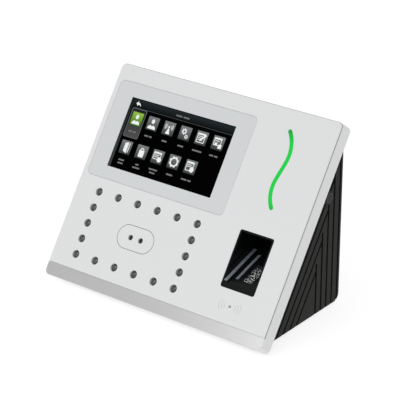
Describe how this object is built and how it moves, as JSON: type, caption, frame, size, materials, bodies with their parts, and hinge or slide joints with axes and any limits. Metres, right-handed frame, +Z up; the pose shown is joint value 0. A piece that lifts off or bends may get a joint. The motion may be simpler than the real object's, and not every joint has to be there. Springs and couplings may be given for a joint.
{
  "type": "fingerprint scanner terminal",
  "caption": "Sloping desk or wall terminal with touch display, infrared face cameras, finger reading bay, card area, status light and wall bracket.",
  "frame": {"origin": "middle of the terminal's footprint, on the surface it stands on", "axes": "+X to the right seen from the front, +Y to the rear, +Z up"},
  "size_m": [0.1976, 0.1115, 0.1467],
  "materials": {
    "white_shell": "fine satin pearl white paint",
    "silver_trim": "satin silver",
    "display_glass": "white printed border round a black window",
    "gloss_black": "polished black",
    "black_plastic": "moulded black",
    "housing_black": "fine grained black",
    "steel": "pressed tinplate",
    "bracket_steel": "zinc plated sheet",
    "screw_steel": "nickel plated",
    "lens_glass": "coated lens",
    "lamp_lens": "smoked epoxy",
    "platen_glass": "polished prism",
    "circuit_board": "green solder mask",
    "copper": "etched copper",
    "green_light": "lit green diffuser",
    "white_plastic": "moulded white",
    "green_plastic": "moulded green",
    "red_plastic": "moulded red",
    "rubber_black": "soft rubber",
    "paper_cone": "pressed paper",
    "battery_wrap": "shrink sleeve"
  },
  "bodies": {
    "terminal": {"front_cover": "white_shell", "camera_bezel": "white_shell", "bottom_trim": "silver_trim", "touch_panel": "display_glass", "panel_tape": "black_plastic", "display_module": "steel", "display_frame": "steel", "camera_barrels": "black_plastic", "camera_lenses": "lens_glass", "camera_board": "circuit_board", "infrared_lamp_board": "circuit_board", "status_light_board": "circuit_board", "finger_sensor_board": "circuit_board", "card_aerial_board": "circuit_board", "main_board": "circuit_board", "socket_board": "circuit_board", "infrared_lamps": "lamp_lens", "status_light_pipe": "green_light", "status_light_leds": "white_plastic", "finger_tray": "gloss_black", "finger_platen": "platen_glass", "finger_sensor": "black_plastic", "card_aerial_coil": "copper", "rear_housing": "housing_black", "side_caps": "rubber_black", "rubber_feet": "rubber_black", "tamper_switch": "black_plastic", "main_board_chips": "black_plastic", "clock_cell_holder": "black_plastic", "clock_cell": "steel", "ethernet_socket": "steel", "usb_socket": "steel", "power_inlet": "black_plastic", "terminal_blocks": "green_plastic", "reset_switch": "black_plastic", "speaker_frame": "black_plastic", "speaker_cone": "paper_cone", "speaker_magnet": "steel", "backup_battery": "battery_wrap", "battery_clip": "steel", "board_screws": "screw_steel", "cover_screws": "screw_steel"},
    "bracket": {"wall_bracket": "bracket_steel", "bracket_lock_screw": "screw_steel"},
    "tamper_plunger": {"tamper_plunger": "white_plastic"},
    "reset_button": {"reset_button": "red_plastic"}
  },
  "joints": [
    {"name": "bracket_slide", "type": "slide", "parent": "terminal", "child": "bracket", "axis": [0, 0, -1], "range_m": [0, 0.008]},
    {"name": "tamper_press", "type": "slide", "parent": "terminal", "child": "tamper_plunger", "axis": [0, -1, 0], "range_m": [0, 0.0015], "stiffness_N_per_m": 400, "springref_m": -0.001},
    {"name": "reset_press", "type": "slide", "parent": "terminal", "child": "reset_button", "axis": [0, -1, 0], "range_m": [0, 0.0006], "stiffness_N_per_m": 800, "springref_m": -0.0005}
  ]
}
